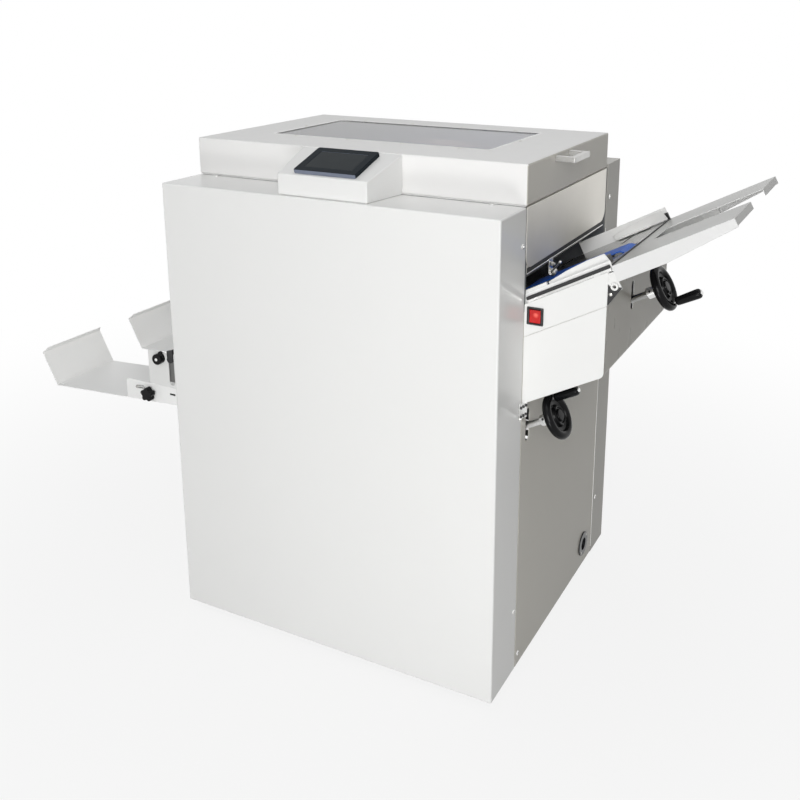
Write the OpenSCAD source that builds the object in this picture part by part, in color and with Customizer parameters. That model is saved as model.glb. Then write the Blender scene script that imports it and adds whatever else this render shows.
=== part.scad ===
// Floor-standing booklet maker that wire-stitches and folds stacks of sheets. Millimetres, Z up.
// Every module is drawn in cabinet coordinates: X from the left face, Y from the front face and
// Z from the lower edge of the covers. placed() then sets the whole machine on the floor.
// The paper path slopes down to the left. Pieces along it are drawn inside path(), where X runs
// up the slope from the right side of the cabinet and Z stands square on the sheet.

/* [Cabinet] */
// Width of the cabinet across its front
body_w = 700; // [694:1:706]
// Depth from the front cover to the back cover
body_d = 656; // [652:1:660]
// Height of the front cover
cover_h = 900; // [896:1:906]
// How much higher the back cover stands
back_rise = 6; // [2:1:8]
// Depth of the front cover
front_d = 112; // [110:1:114]
// Depth of the back cover
back_d = 88; // [86:1:90]
// Sheet thickness of covers and panels
sheet = 1.5; // [1.2:0.1:1.6]
// Outer bend radius of the sheet corners
bend_r = 3; // [2.5:0.5:5]
// Thickness of the two frame plates
frame_t = 8; // [7.5:0.5:8]
// Side of the square base tube
tube = 40; // [38:1:42]
// Height of the levelling feet
foot_h = 12; // [10:1:16]

/* [Hood and console] */
// Height of the hood
hood_h = 71.5; // [68:0.5:76]
// Gap under the hood
hood_gap = 1.5; // [1:0.5:3]
// Length of the hood window along X
window_w = 482; // [470:1:490]
// Length of the hood window along Y
window_d = 258; // [250:1:262]
// Distance between the handle legs
handle_pitch = 72; // [60:1:90]
// Reach of the handle from the hood
handle_reach = 38; // [34:1:48]
// Width of the console along its front
console_w = 185; // [176:1:194]
// Height of the console along its front
console_h = 38; // [34:1:42]
// Width of the touch panel
panel_w = 128; // [120:1:134]
// Height of the touch panel
panel_d = 90; // [84:1:94]

/* [Infeed] */
// Slope of the paper path in degrees
slope = 28; // [27:0.5:28.5]
// Drop from the top of the covers to the bed at the right side
bed_drop = 163.5; // [161:0.5:166]
// Width of the infeed unit
infeed_w = 410; // [406:1:414]
// Reach of the infeed housing beyond the cabinet
reach = 145.5; // [144:0.5:147]
// Length of the tray along the slope
tray_l = 214; // [200:1:240]
// Depth of the slot between the tray arms
fork_l = 181; // [160:1:190]
// Width of the feed belt
belt_w = 68; // [56:1:70]
// Height of the side guides
guide_h = 21; // [16:1:26]
// Travel of each side guide
guide_travel = 90; // [70:1:92]

/* [Handwheels] */
// Outer radius of a handwheel
wheel_r = 43; // [38:1:44]
// Radius of a lead screw
screw_r = 6; // [5:0.5:6.5]
// Length of a grip
grip_l = 47; // [42:1:56]
// Radius of a grip
grip_r = 9; // [7:0.5:10]

/* [Stitching and folding] */
// Distance between the two stitch heads
stitch_pitch = 120; // [112:1:130]
// Radius of the fold rollers
roller_r = 18; // [16:0.5:18.5]
// Gap between the fold rollers
nip = 2.4; // [2.2:0.1:3]
// Radius of a wire spool
spool_r = 40; // [34:1:42]

/* [Outfeed] */
// Width of one wing
wing_w = 178; // [160:1:186]
// Length of the wing floor
wing_l = 388; // [376:1:390]
// Length of the wing's end wall
wall_l = 83; // [70:1:90]
// Radius of a star knob
knob_r = 16; // [13:0.5:18]

/* [Fits] */
// Radial clearance of a running fit
fit = 0.05; // [0.03:0.01:0.08]
// Air between moving pieces that pass without touching
air = 0.3; // [0.3:0.05:0.4]

/* [Hidden] */
$fn = 64;
white = [0.92, 0.92, 0.91];
steel = [0.72, 0.72, 0.72];
bright = [0.85, 0.86, 0.87];
dark = [0.10, 0.10, 0.11];
grey = [0.42, 0.43, 0.45];
blue = [0.08, 0.28, 0.78];

// Frame faces: outer and inner face of the front plate, then of the rear plate
yf = front_d;
yfi = yf + frame_t;
yr = body_d - back_d;
yri = yr - frame_t;
ymid = (yf + yr) / 2;

// Path geometry: places along the slope (u) and heights above the sheet (h)
cs = cos(slope);
sn = sin(slope);
tn = tan(slope);
bed_z = cover_h - bed_drop;
yc = yf + infeed_w / 2;
y_in = yf + infeed_w;
x_end = body_w + reach;
rail_h = -7;
seam_h = -59.6;
cover_lo = -170.4;
tray_u = 169;
tray_tip = tray_u + tray_l;
lip = 13;
drive_u = -50;
idle_u = 140;
belt_r = 14;
belt_t = 2;
belt_h = -11;
belt_y = yc - 41;
rod_u = [85, 105];
rod_h = -20;
rod_r = 4;
bush = [161, -33];
weld = 0.5;
stitch_u = -130;
fold_u = -400;
fold_du = roller_r + nip / 2;
fold_h = -26;
fold_shaft = 8;
gear_n = 16;
knife_t = 1.5;
knife_rod = 7;
stop_u = -290;
fold_stop_u = -560;
stop_reach = 55;
up_y = yc - 47;
up_h = -87.2;
up_wheel = 181;
grip_at = wheel_r - 11;
grip_seat = 9;
lo_y = yf + 30.5;
lo_h = -217;
lo_wheel = -52;
spool_u = -166;
spool_h = 185;
spindle_r = 6;

// Outfeed geometry
clamp_z = bed_z - 339.5;
wing_x = -466;
wing_z = clamp_z - 37.5;
wing_tilt = 3.5;
wall_turn = 117.3;
rim_turn = 68;
wing_rim = 9.2;
rim_fold = (wall_turn + rim_turn) / 2 + 90;
fold_t = sheet / cos((wall_turn - rim_turn) / 2);
wing_tip = wing_x + wall_l * cos(wall_turn) + fold_t * cos(rim_fold);
clamp_x = -174;
clamp_r = 4;
press_x = -113;
press_z = [clamp_z + 35, clamp_z + 87];
press_r = 8;
lever_x = -140;
bracket_y = yf + sheet;
bracket_t = 3;

// Other shared places
hood_d = yri - yf;
hood_z = cover_h + hood_gap;
hood_top = hood_z + hood_h;
window_x = 98;
window_y = yf + 116;
hinge_x = -6.5;
hinge_z = cover_h + hood_gap / 2;
hinge_y = [yf + 58, yf + 338];
console_x = 356;
console_y0 = 9;
console_y1 = yf - 0.5;
console_z1 = hood_top - 1;
console_a = atan((console_z1 - cover_h - console_h) / (console_y1 - console_y0));
switch_x = body_w + 20.5;
switch_z = bed_z - 25.9;
inlet_y = yr - 61;
inlet_z = 54;
inlet_r = 17;
motor_x = 350;
motor_z = 112;
screw_head = 5;
side_screw_z = [133, cover_h - 65];
foot_x = [40, body_w - 40];
foot_y = [yf + tube / 2, yr - tube / 2];
stud_r = 5;
x_mid = (body_w + tray_tip * cs + (lip + 2) * sn + wing_tip) / 2;

function px(u, h) = body_w + u * cs - h * sn;
function pz(u, h) = bed_z + u * sn + h * cs;
function line_z(x, h) = bed_z + h / cs + (x - body_w) * tn;
function ray(a) = [cos(a), sin(a)];
function floor_z(x) = wing_z + (x - wing_x) * tan(wing_tilt);

// Shared building blocks
module placed() translate([-x_mid, -body_d / 2, foot_h]) children();
module path() translate([body_w, 0, bed_z]) rotate([0, -slope, 0]) children();
module box(a, b) translate(a) cube(b - a);
module xz(y0, y1) translate([0, y1, 0]) rotate([90, 0, 0]) linear_extrude(height = y1 - y0) children();
module yz(x0, x1) translate([x0, 0, 0]) rotate([90, 0, 90]) linear_extrude(height = x1 - x0) children();
module rod_y(x, z, r, y0, y1) translate([x, y1, z]) rotate([90, 0, 0]) cylinder(r = r, h = y1 - y0);
module rod_x(y, z, r, x0, x1) translate([x0, y, z]) rotate([0, 90, 0]) cylinder(r = r, h = x1 - x0);
module mirror_y(y) translate([0, 2 * y, 0]) mirror([0, 1, 0]) children();

module rrect(a, b, r) {
    translate([a[0] + r, a[1]]) square([b[0] - a[0] - 2 * r, b[1] - a[1]]);
    translate([a[0], a[1] + r]) square([b[0] - a[0], b[1] - a[1] - 2 * r]);
    for (x = [a[0] + r, b[0] - r], y = [a[1] + r, b[1] - r])
        translate([x, y]) circle(r = r);
}

// Round-ended slot between two points on one horizontal or vertical line
module obround(a, b, r) {
    translate(a) circle(r = r);
    translate(b) circle(r = r);
    if (a[1] == b[1]) translate([a[0], a[1] - r]) square([b[0] - a[0], 2 * r]);
    else translate([a[0] - r, a[1]]) square([2 * r, b[1] - a[1]]);
}

module gear2(n, pitch_r) {
    m = 2 * pitch_r / n;
    circle(r = pitch_r - 1.25 * m);
    for (i = [0:n - 1]) rotate(i * 360 / n)
        polygon([[pitch_r - 1.6 * m, -0.9 * m], [pitch_r + 0.8 * m, -0.34 * m],
                 [pitch_r + 0.8 * m, 0.34 * m], [pitch_r - 1.6 * m, 0.9 * m]]);
}

module star2(r) {
    circle(r = 0.74 * r);
    for (i = [0:4]) rotate(i * 72 + 18) translate([0.66 * r, 0]) circle(r = 0.34 * r);
}

// Plan of a cover: a rectangle with its two front corners bent
module cover_plan(w, d, r) {
    translate([0, r]) square([w, d - r]);
    translate([r, 0]) square([w - 2 * r, d]);
    for (x = [r, w - r]) translate([x, r]) circle(r = r);
}

// Folded cover, open towards the frame, with return lips
module cover_shell(d, h) {
    edge = 14;
    difference() {
        linear_extrude(height = h) cover_plan(body_w, d, bend_r);
        translate([sheet, sheet, sheet])
            linear_extrude(height = h - 2 * sheet)
                cover_plan(body_w - 2 * sheet, d, bend_r - sheet);
        box([edge, edge, -1], [body_w - edge, d + 1, sheet + 1]);
        for (z = side_screw_z) rod_x(d - 16, z, 2.5, -1, body_w + 1);
    }
    for (x = [sheet, body_w - edge])
        box([x, d - sheet, sheet], [x + edge - sheet, d, h - sheet]);
    box([edge, d - sheet, h - edge], [body_w - edge, d, h - sheet]);
}

// Machine structure

module base_frame() color(grey) {
    wall = 3;
    plate = 6;
    cross_x = [60, motor_x - tube / 2, body_w - 60 - tube];
    difference() {
        union() {
            for (y = [yf, yr - tube]) box([sheet, y, 0], [body_w - sheet, y + tube, tube]);
            for (x = cross_x) box([x, yf + tube, 0], [x + tube, yr - tube, tube]);
        }
        for (y = [yf, yr - tube])
            box([0, y + wall, wall], [body_w, y + tube - wall, tube - wall]);
        for (x = cross_x)
            box([x + wall, yf + tube - wall, wall], [x + tube - wall, yr - tube + wall, tube - wall]);
        for (x = foot_x, y = foot_y) translate([x, y, -1]) cylinder(r = stud_r + fit, h = wall + 2);
    }
    box([motor_x - 110, yfi, tube], [motor_x + 110, yri, tube + plate]);
}

module levelling_feet() color(dark)
    for (x = foot_x, y = foot_y) translate([x, y, -foot_h]) {
        cylinder(r1 = 21, r2 = 19, h = foot_h - 5);
        translate([0, 0, foot_h - 5]) cylinder(r = 9, h = 5, $fn = 6);
        cylinder(r = stud_r, h = foot_h + 20);
    }

module frame_plate(y0, y1) difference() {
    xz(y0, y1) difference() {
        translate([sheet, tube]) square([body_w - 2 * sheet, cover_h - tube - 2]);
        rrect([90, tube + 50], [body_w - 90, clamp_z - 97], 20);
        rrect([40, cover_h - 170], [220, cover_h - 40], 20);
    }
    path() rod_y(drive_u, belt_h, fold_shaft + fit, y0 - 1, y1 + 1);
    path() for (d = [-fold_du, fold_du])
        rod_y(fold_u + d, fold_h, fold_shaft + fit, y0 - 1, y1 + 1);
}

module front_frame() color(grey) frame_plate(yf, yfi);

module rear_frame() color(grey) frame_plate(yri, yr);

module tie_bars() color(steel)
    for (p = [[30, clamp_z - 67], [body_w - 30, clamp_z - 67], [30, cover_h - 40],
              [body_w - 100, cover_h - 30], [60, cover_h - 280]])
        rod_y(p[0], p[1], 9, yfi, yri);

// Skins

module front_cover() color(white) difference() {
    cover_shell(front_d, cover_h);
    for (x = [47, body_w - 61]) translate([x, front_d - 8, cover_h - 20]) cylinder(r = 2.5, h = 40);
    box([console_x - 25, 40, cover_h - 5], [console_x + 25, 75, cover_h + 5]);
}

module back_cover() color(white) difference() {
    translate([0, body_d, 0]) mirror([0, 1, 0]) cover_shell(back_d, cover_h + back_rise);
    for (i = [0:7], x = [120, 420])
        xz(body_d - 2 * sheet, body_d + 1) obround([x, 160 + 24 * i], [x + 160, 160 + 24 * i], 4);
}

module right_panel() color(white) {
    gap = 0.5;
    top = bed_z - 22.5;
    throat = bed_z - 156.5;
    screw_z = line_z(body_w, lo_h);
    yz(body_w - sheet, body_w) difference() {
        translate([yf + gap, 2]) square([yr - yf - 2 * gap, top - 2]);
        translate([yf + 13, throat]) square([infeed_w - 25, 200]);
        obround([lo_y, screw_z - 21], [lo_y, screw_z + 24], 9);
        translate([inlet_y, inlet_z]) circle(r = inlet_r + fit);
    }
    for (y = [yfi, yri - sheet])
        box([body_w - 17, y, tube + 5], [body_w - sheet, y + sheet, throat - 5]);
}

module left_panel() color(white) {
    gap = 0.5;
    yz(0, sheet) difference() {
        translate([yf + gap, 2]) square([yr - yf - 2 * gap, cover_h - 4]);
        rrect([yf + 14, clamp_z - 39], [yr - 14, clamp_z + 123], 6);
    }
    for (y = [yfi, yri - sheet])
        box([sheet, y, tube + 5], [17, y + sheet, clamp_z - 97]);
}

// Plate over the mouth with rounded lower corners, and the sheet guide folded from its inside
module guard_plate() color(steel) {
    y0 = yf + 2;
    y1 = yr - 10;
    bottom = bed_z + 53.5;
    r = 25;
    flange = bottom - 11;
    top = bottom + 45;
    yz(body_w - sheet, body_w) {
        translate([y0, bottom + r]) square([y1 - y0, cover_h - 1 - bottom - r]);
        translate([y0 + r, bottom]) square([y1 - y0 - 2 * r, r]);
        for (y = [y0 + r, y1 - r]) translate([y, bottom + r]) circle(r = r);
    }
    box([body_w - 20, yfi + 1, cover_h - 2.5], [body_w - sheet, y1 - 1, cover_h - 1]);
    xz(yfi + 2, yri - 10) polygon([
        [body_w - 2 * sheet, top], [body_w - sheet, top], [body_w - sheet, flange],
        [px(-100, 14), pz(-100, 14)], [px(-100, 14 + sheet), pz(-100, 14 + sheet)],
        [body_w - 2 * sheet, flange + 2]]);
}

// Console and touch panel

module console_solid(inset) intersection() {
    translate([0, 0, cover_h - 1]) linear_extrude(height = 100) polygon([
        [console_x - console_w / 2 + inset, console_y0 + inset],
        [console_x + console_w / 2 - inset, console_y0 + inset],
        [console_x + console_w / 2 + 13 - inset, console_y1 - inset],
        [console_x - console_w / 2 - 13 + inset, console_y1 - inset]]);
    yz(0, body_w) polygon([
        [console_y0, cover_h - inset], [console_y0, cover_h + console_h - 1.05 * inset],
        [console_y1, console_z1 - 1.05 * inset], [console_y1, cover_h - inset]]);
}

module console_face() translate([console_x + 3, console_y0, cover_h + console_h])
    rotate([console_a, 0, 0]) translate([0, 6, 0]) children();

module console_box() color(white) difference() {
    console_solid(0);
    console_solid(sheet);
    console_face() box([-panel_w / 2 + 5, 5, -10], [panel_w / 2 - 5, panel_d - 5, 10]);
}

module touch_bezel() color(dark) console_face() difference() {
    union() {
        linear_extrude(height = 8) rrect([-panel_w / 2, 0], [panel_w / 2, panel_d], 4);
        box([-panel_w / 2 + 5.2, 5.2, -18], [panel_w / 2 - 5.2, panel_d - 5.2, 0]);
    }
    box([-panel_w / 2 + 15, 15, 6.5], [panel_w / 2 - 15, panel_d - 15, 9]);
}

module touch_glass() color([0.03, 0.04, 0.09]) console_face()
    box([-panel_w / 2 + 15, 15, 6.5], [panel_w / 2 - 15, panel_d - 15, 7.6]);

module cover_screws() color(steel) {
    for (y = [front_d - 16, yr + 16], z = side_screw_z) {
        rod_x(y, z, screw_head, body_w, body_w + 2.4);
        rod_x(y, z, 2.45, body_w - sheet, body_w);
        rod_x(y, z, screw_head, -2.4, 0);
        rod_x(y, z, 2.45, 0, sheet);
    }
    for (x = [47, body_w - 61]) translate([x, front_d - 8, cover_h]) {
        cylinder(r = screw_head, h = 2.4);
        translate([0, 0, -sheet]) cylinder(r = 2.45, h = sheet);
    }
}

// Hood

function window_screws() = concat(
    [for (i = [0:3]) for (y = [-6, window_d + 6]) [window_x + window_w * (i + 0.5) / 4, window_y + y]],
    [for (x = [-6, window_w + 6]) [window_x + x, window_y + window_d / 2]]);

module hood() color(white) difference() {
    translate([0, 0, hood_z]) linear_extrude(height = hood_h)
        rrect([0, yf], [body_w, yf + hood_d], bend_r);
    translate([0, 0, hood_z + sheet]) linear_extrude(height = hood_h - 2 * sheet)
        rrect([sheet, yf + sheet], [body_w - sheet, yf + hood_d - sheet], bend_r - sheet);
    translate([0, 0, hood_z - 1]) linear_extrude(height = 10)
        rrect([14, yf + 14], [body_w - 14, yf + hood_d - 14], bend_r);
    translate([0, 0, hood_top - 5]) linear_extrude(height = 10)
        rrect([window_x, window_y], [window_x + window_w, window_y + window_d], 4);
    for (p = window_screws()) translate([p[0], p[1], hood_top - 5]) cylinder(r = 2, h = 10);
}

module hood_window() color([0.80, 0.84, 0.92, 0.6]) difference() {
    translate([0, 0, hood_top - sheet - 3]) linear_extrude(height = 3)
        rrect([window_x - 12, window_y - 12], [window_x + window_w + 12, window_y + window_d + 12], 6);
    for (p = window_screws()) translate([p[0], p[1], hood_top - 10]) cylinder(r = 2, h = 10);
}

module hood_screws() color(steel)
    for (p = window_screws()) translate([p[0], p[1], hood_top]) {
        cylinder(r = 3.5, h = 1.6);
        translate([0, 0, -sheet - 3]) cylinder(r = 1.95, h = sheet + 3);
    }

// Round bow handle: two legs, two quarter bends and the bar
module hood_handle() color(bright) {
    bar = 10;
    turn = 2.5;
    y0 = yf + 135;
    translate([body_w, y0, hood_top - 14]) linear_extrude(height = bar) difference() {
        union() {
            translate([0, -bar / 2]) square([handle_reach - turn, handle_pitch + bar]);
            rrect([turn, -bar / 2], [handle_reach, handle_pitch + bar / 2], turn);
        }
        translate([-1, bar / 2]) square([handle_reach - bar + 1, handle_pitch - bar]);
    }
}

module hood_hinge_base() color(steel)
    for (y = hinge_y) {
        box([-sheet, y, cover_h - 48], [0, y + 50, cover_h - 4]);
        for (k = [0, 35]) {
            box([hinge_x - 1.5, y + k, cover_h - 8], [0, y + k + 15, cover_h - 3.5]);
            rod_y(hinge_x, hinge_z, 5, y + k, y + k + 15);
        }
        rod_y(hinge_x, hinge_z, 2.5, y + 15, y + 35);
    }

module hood_hinge_leaf() color(steel)
    for (y = hinge_y) difference() {
        union() {
            box([-sheet, y, hood_z + 7], [0, y + 50, hood_z + 45]);
            box([hinge_x - 1.5, y + 15 + air, hood_z + 3], [0, y + 35 - air, hood_z + 7.5]);
            rod_y(hinge_x, hinge_z, 5, y + 15 + air, y + 35 - air);
        }
        rod_y(hinge_x, hinge_z, 2.5 + fit, y + 10, y + 40);
    }

// Power inlet, a round flanged socket with three pins

module power_inlet() color(dark) {
    difference() {
        union() {
            rod_x(inlet_y, inlet_z, 27, body_w, body_w + 3);
            rod_x(inlet_y, inlet_z, inlet_r, body_w - 22, body_w);
        }
        rod_x(inlet_y, inlet_z, inlet_r - 3, body_w - 14, body_w + 4);
        for (a = [45, 225])
            rod_x(inlet_y + 22 * cos(a), inlet_z + 22 * sin(a), 1.8, body_w + 1.5, body_w + 4);
    }
    for (a = [90, 210, 330])
        rod_x(inlet_y + 7 * cos(a), inlet_z + 7 * sin(a), 2, body_w - 15, body_w - 2);
}

// Infeed

// Side outline of the infeed cover with its rounded outer corner
function cover_outline(in) = let(x1 = x_end - in, lo = cover_lo + in, r = 12 - in, xc = x1 - r,
    zc = line_z(xc, lo) + r / cs) concat(
    [[body_w - (in > 0 ? 1 : 0), line_z(body_w - (in > 0 ? 1 : 0), lo)]],
    [for (i = [0:6]) let(a = (slope - 90) * (1 - i / 6)) [xc + r * cos(a), zc + r * sin(a)]],
    [[x1, line_z(x1, seam_h + (in > 0 ? 60 : 0))],
     [body_w - (in > 0 ? 1 : 0), line_z(body_w, seam_h + (in > 0 ? 60 : 0))]]);

module infeed_cover() color(white) {
    end_top = bed_z + 38.5;
    slot_z = line_z(x_end, up_h) - 10;
    side = sheet + air;
    difference() {
        union() {
            difference() {
                xz(yf, y_in) polygon(cover_outline(0));
                xz(yf + sheet, y_in - sheet) polygon(cover_outline(sheet));
            }
            box([x_end - sheet, yf + side, line_z(x_end, seam_h) - 2], [x_end, y_in - side, end_top]);
        }
        yz(x_end - 5, x_end + 5) obround([up_y, slot_z], [up_y, slot_z + 37], 8);
    }
    for (y = [yf + sheet, y_in - 16])
        box([body_w, y, line_z(body_w, cover_lo) + 2],
            [body_w + sheet, y + 16 - sheet, line_z(body_w, seam_h - 10) - 1]);
}

module rail_plate(h0, h1, x1) polygon([
    [body_w, line_z(body_w, h0)], [x1, line_z(x1, h0)],
    [x1, line_z(x1, h1)], [body_w, line_z(body_w, h1)]]);

module infeed_side() {
    xz(yf, yf + sheet) rail_plate(seam_h + 0.6, rail_h, x_end);
    xz(yf + sheet, yf + 2 * sheet) rail_plate(seam_h - 10, seam_h + 12, x_end - sheet - air);
    path() {
        box([-3, yf + weld, rail_h - sheet], [158, yfi, rail_h]);
        rod_y(idle_u, belt_h, belt_r - 6, yf + weld, yf + 7.5);
        box([130, yf + sheet, -27], [262, yf + 5.5, -10]);
        box([bush[0] - 9, yf + sheet, bush[1] - 9], [bush[0] + 9, yf + 5.5, -26]);
        rod_y(bush[0], bush[1], 6.5, yf - 4, yf + sheet + weld);
    }
}

// Welded infeed frame: two side rails, guide rods, bearing bosses and the arms that carry the tray
module infeed_frame() color(white) difference() {
    union() {
        infeed_side();
        mirror_y(yc) infeed_side();
        path() for (u = rod_u) rod_y(u, rod_h, rod_r, yf + weld, y_in - weld);
    }
    path() rod_y(idle_u, belt_h, screw_r + fit, yf + sheet, y_in - sheet);
    path() rod_y(bush[0], bush[1], 3, yf - 10, y_in + 10);
    xz(yf - 5, yf + 5) translate([switch_x - 13.4, switch_z - 14.7]) square([26.8, 29.4]);
}

module guide_slot() box([rod_u[0] + 6, yf + 15, -5], [rod_u[1] - 6, yf + 28 + guide_travel, 5]);

module infeed_bed() color(bright) path() difference() {
    union() {
        box([-45, yfi, -sheet], [tray_u - 1, y_in - frame_t, 0]);
        box([-30, yfi, -9], [tray_u - 1, yfi + sheet, 9]);
        box([-30, y_in - frame_t - sheet, -9], [tray_u - 1, y_in - frame_t, 26]);
    }
    box([-46, belt_y - belt_w / 2 - 2, -5], [idle_u + 18.5, belt_y + belt_w / 2 + 2, 5]);
    rod_y(idle_u, belt_h, screw_r + 1, yf, y_in);
    guide_slot();
    mirror_y(yc) guide_slot();
}

module belt_loop(r) {
    for (u = [drive_u, idle_u]) translate([u, belt_h]) circle(r = r);
    translate([drive_u, belt_h - r]) square([idle_u - drive_u, 2 * r]);
}

module feed_belt() color(blue) path() xz(belt_y - belt_w / 2, belt_y + belt_w / 2) difference() {
    belt_loop(belt_r + air + belt_t);
    belt_loop(belt_r + air);
}

module feed_drive_roller() color(steel) path() {
    rod_y(drive_u, belt_h, belt_r, belt_y - belt_w / 2, belt_y + belt_w / 2);
    rod_y(drive_u, belt_h, fold_shaft, yf + 1, yr + 26);
    rod_y(drive_u, belt_h, 20, yr + 6, yr + 22);
}

module feed_idler_roller() color(steel) path() {
    rod_y(idle_u, belt_h, belt_r, belt_y - belt_w / 2, belt_y + belt_w / 2);
    rod_y(idle_u, belt_h, screw_r, yf + 2, y_in - 2);
}

// Side guide: an upright fence on a foot, with a slider under the bed
module side_guide() path() difference() {
    union() {
        xz(yf + 16, yf + 18) polygon([[48, 2], [166, 2], [166, 5], [161, 1 + guide_h],
                                      [128, 1 + guide_h], [88, guide_h - 2], [48, 0.6 * guide_h]]);
        box([60, yf + 18, 2], [130, yf + 34, 3.5]);
        box([rod_u[0] + 7, yf + 19, -14], [rod_u[1] - 7, yf + 25, 3]);
        box([rod_u[0] - 7, yf + 18, -27], [rod_u[1] + 7, yf + 34, -13]);
    }
    for (u = rod_u) rod_y(u, rod_h, rod_r + fit, yf, yf + 60);
}

module front_guide() color(white) side_guide();

module rear_guide() color(white) mirror_y(yc) side_guide();

// Forked tray with turned-down flanges and end lips
module infeed_tray() color(white) path() {
    arm = 154;
    root = tray_tip - fork_l;
    for (y = [yf, y_in - sheet])
        xz(y, y + sheet) polygon([
            [tray_u, 0], [tray_u, -28], [255, -28], [tray_tip, -lip - 2], [tray_tip, 0]]);
    translate([0, 0, -sheet]) linear_extrude(height = sheet) polygon([
        [tray_u, yf], [tray_tip, yf], [tray_tip, yf + arm - 12], [root + 6, yf + arm],
        [root, yf + arm + 6], [root, y_in - arm - 6], [root + 6, y_in - arm],
        [tray_tip, y_in - arm + 12], [tray_tip, y_in], [tray_u, y_in]]);
    for (y = [yf, y_in - arm + 12])
        box([tray_tip - sheet, y, -lip], [tray_tip, y + arm - 12, 0]);
}

module switch_bezel() color(dark) difference() {
    union() {
        xz(yf - 2.5, yf) translate([switch_x, switch_z]) rrect([-15, -16], [15, 16], 1.5);
        box([switch_x - 13.2, yf, switch_z - 14.5], [switch_x + 13.2, yf + 16, switch_z + 14.5]);
    }
    box([switch_x - 10.5, yf - 5, switch_z - 13], [switch_x + 10.5, yf + 13, switch_z + 13]);
    rod_x(yf + 3, switch_z, 1.5 + fit, switch_x - 12, switch_x + 12);
}

module switch_rocker() color([0.85, 0.06, 0.05]) {
    yz(switch_x - 10, switch_x + 10) polygon([
        [yf - 3.5, switch_z - 11.6], [yf - 1.6, switch_z], [yf - 3.5, switch_z + 11.6],
        [yf + 4, switch_z + 10], [yf + 8, switch_z], [yf + 4, switch_z - 10]]);
    rod_x(yf + 3, switch_z, 1.5, switch_x - 11.8, switch_x + 11.8);
}

// Handwheels and stops

module wheel_at(u, y, h) path() translate([u, y, h]) rotate([0, 90, 0]) children();

// Dished wheel with a round rim, a hub and the fixed pin of its grip
module handwheel(grip_a) {
    rim = 8;
    rotate_extrude() {
        translate([wheel_r - rim, 0]) circle(r = rim);
        polygon([[screw_r + fit, -9], [14, -9], [17, -5], [wheel_r - rim, -3],
                 [wheel_r - rim, 2], [18, 0], [13, 8], [screw_r + fit, 8]]);
    }
    rotate(grip_a) translate([grip_at, 0, 0]) {
        cylinder(r = 6.5, h = grip_seat);
        cylinder(r = 3, h = grip_seat + grip_l + 3);
    }
}

module grip(grip_a) rotate(grip_a) translate([grip_at, 0, grip_seat + air]) rotate_extrude() polygon([
    [3 + fit, 0], [0.72 * grip_r, 0], [0.86 * grip_r, 3], [grip_r, 0.7 * grip_l],
    [grip_r, grip_l - 4], [grip_r - 3, grip_l], [3 + fit, grip_l]]);

// Lead screw with its collar and thrust ring
module lead_screw(u0, u1, y, h, collar) path() {
    rod_x(y, h, screw_r, u0, u1);
    rod_x(y, h, screw_r + 4, collar, collar + 15);
}

// In wheel axes X points down off the sheet and Y to the back
upper_grip_a = 10;
lower_grip_a = 170;

module upper_handwheel() color(dark) wheel_at(up_wheel, up_y, up_h) handwheel(upper_grip_a);

module upper_grip() color(dark) wheel_at(up_wheel, up_y, up_h) grip(upper_grip_a);

module upper_screw() color(bright) lead_screw(stop_u - 70, up_wheel + 7, up_y, up_h, 150);

module lower_handwheel() color(dark) wheel_at(lo_wheel, lo_y, lo_h) handwheel(lower_grip_a);

module lower_grip() color(dark) wheel_at(lo_wheel, lo_y, lo_h) grip(lower_grip_a);

module lower_screw() color(bright) lead_screw(fold_stop_u - 80, lo_wheel + 7, lo_y, lo_h, -84);

// Bearing blocks of both screws; the outer one stands on the floor of the infeed cover
module screw_blocks() color(steel) difference() {
    foot = [px(97, up_h) - 10, px(97, up_h) + 4];
    union() {
        path() {
            box([90, up_y - 18, up_h - 17], [104, up_y + 18, up_h + 17]);
            box([stop_u - 68, up_y - 14, up_h - 12], [stop_u - 58, up_y + 14, -3.5]);
            for (u = [-165, fold_stop_u - 78])
                box([u, yfi, lo_h - 15], [u + 12, lo_y + 14, lo_h + 15]);
        }
        xz(up_y - 9, up_y + 9) polygon([
            [foot[0], line_z(foot[0], cover_lo + sheet)], [foot[1], line_z(foot[1], cover_lo + sheet)],
            [foot[1], pz(97, up_h)], [foot[0], pz(97, up_h)]]);
    }
    path() {
        rod_x(up_y, up_h, screw_r + fit, stop_u - 90, 110);
        rod_x(lo_y, lo_h, screw_r + fit, fold_stop_u - 90, -140);
    }
}

function finger_y() = [yc - 88, yc + 88];

module stitch_stop() color(steel) path() difference() {
    union() {
        box([stop_u - 15, up_y - 16, up_h - 14], [stop_u + 15, up_y + 16, up_h + 15]);
        box([stop_u - 10, yc - 117, up_h + 14], [stop_u + 10, yc + 117, up_h + 19]);
        for (y = finger_y()) box([stop_u + 4, y - 3, up_h + 18], [stop_u + 10, y + 3, 8]);
    }
    rod_x(up_y, up_h, screw_r + air, stop_u - 20, stop_u + 20);
}

module fold_stop() color(steel) path() difference() {
    union() {
        box([fold_stop_u - 15, lo_y - 14, lo_h - 15], [fold_stop_u + 15, lo_y + 14, lo_h + 15]);
        box([fold_stop_u - 8, lo_y + 7, lo_h + 14], [fold_stop_u + 8, lo_y + 14, -14]);
        box([fold_stop_u - 8, lo_y + 7, -30], [fold_stop_u + 8, yc + 117, -14]);
        for (y = finger_y()) box([fold_stop_u + 2, y - 3, -15], [fold_stop_u + 8, y + 3, 8]);
    }
    rod_x(lo_y, lo_h, screw_r + air, fold_stop_u - 20, fold_stop_u + 20);
}

// Stitching and folding

function head_y() = [yc - stitch_pitch / 2, yc + stitch_pitch / 2];

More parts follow.
